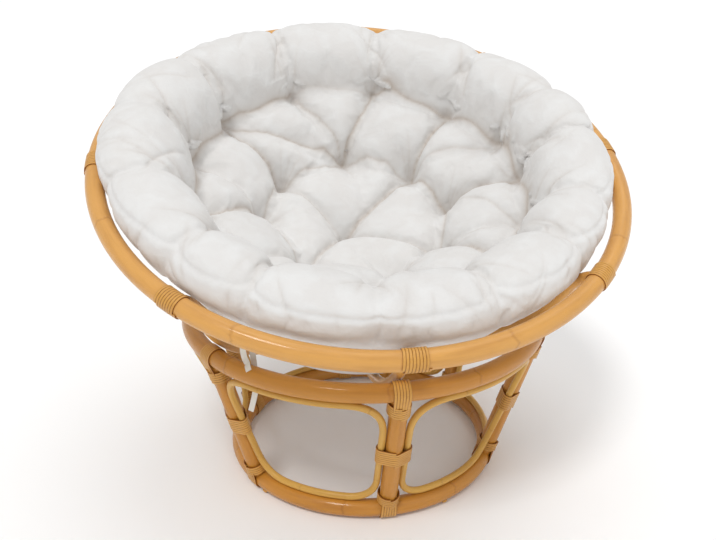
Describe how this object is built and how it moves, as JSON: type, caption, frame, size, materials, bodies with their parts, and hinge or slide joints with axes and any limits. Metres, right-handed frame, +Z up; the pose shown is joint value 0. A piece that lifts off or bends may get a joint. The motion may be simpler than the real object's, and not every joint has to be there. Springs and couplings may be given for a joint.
{
  "type": "papasan chair",
  "caption": "Round tufted cushion in a tilted bowl of rattan poles that rests loose on a lashed ring stand.",
  "frame": {"origin": "centre of the bounding box on the floor", "axes": "+Z up, the front of the chair faces -Y, +X to the sitter's left"},
  "size_m": [1.1086, 1.0118, 0.9057],
  "materials": {
    "pole": "clear varnished rattan pole",
    "cane": "satin peeled cane",
    "lashing": "satin split cane winding",
    "cloth": "matt woven cotton"
  },
  "bodies": {
    "stand": {"base_top_ring": "pole", "base_bottom_ring": "pole", "leg_1": "pole", "leg_2": "pole", "leg_3": "pole", "leg_4": "pole", "leg_5": "pole", "leg_6": "pole", "panel_hoop_1": "cane", "panel_hoop_2": "cane", "panel_hoop_3": "cane", "panel_hoop_4": "cane", "panel_hoop_5": "cane", "panel_hoop_6": "cane", "top_lashing_1": "lashing", "top_lashing_2": "lashing", "top_lashing_3": "lashing", "top_lashing_4": "lashing", "top_lashing_5": "lashing", "top_lashing_6": "lashing", "middle_lashing_1": "lashing", "middle_lashing_2": "lashing", "middle_lashing_3": "lashing", "middle_lashing_4": "lashing", "middle_lashing_5": "lashing", "middle_lashing_6": "lashing", "bottom_lashing_1": "lashing", "bottom_lashing_2": "lashing", "bottom_lashing_3": "lashing", "bottom_lashing_4": "lashing", "bottom_lashing_5": "lashing", "bottom_lashing_6": "lashing"},
    "bowl": {"bowl_rim": "pole", "bowl_bottom_hoop": "pole", "bowl_rib_1": "pole", "bowl_rib_2": "pole", "bowl_rib_3": "pole", "bowl_rib_4": "pole", "bowl_rib_5": "pole", "bowl_rib_6": "pole", "bowl_rib_7": "pole", "bowl_rib_8": "pole", "rim_lashing_1": "lashing", "rim_lashing_2": "lashing", "rim_lashing_3": "lashing", "rim_lashing_4": "lashing", "rim_lashing_5": "lashing", "rim_lashing_6": "lashing", "rim_lashing_7": "lashing", "rim_lashing_8": "lashing"},
    "cushion": {"cushion": "cloth"}
  },
  "joints": [
    {"name": "bowl_tilt", "type": "hinge", "parent": "stand", "child": "bowl", "pos_m": [0, -0.02547, 0.71421], "axis": [1, 0, 0], "range_deg": [-55, 6.5]},
    {"name": "cushion_lift", "type": "slide", "parent": "bowl", "child": "cushion", "axis": [0, -0.4107, 0.9118], "range_m": [0, 0.5]}
  ]
}
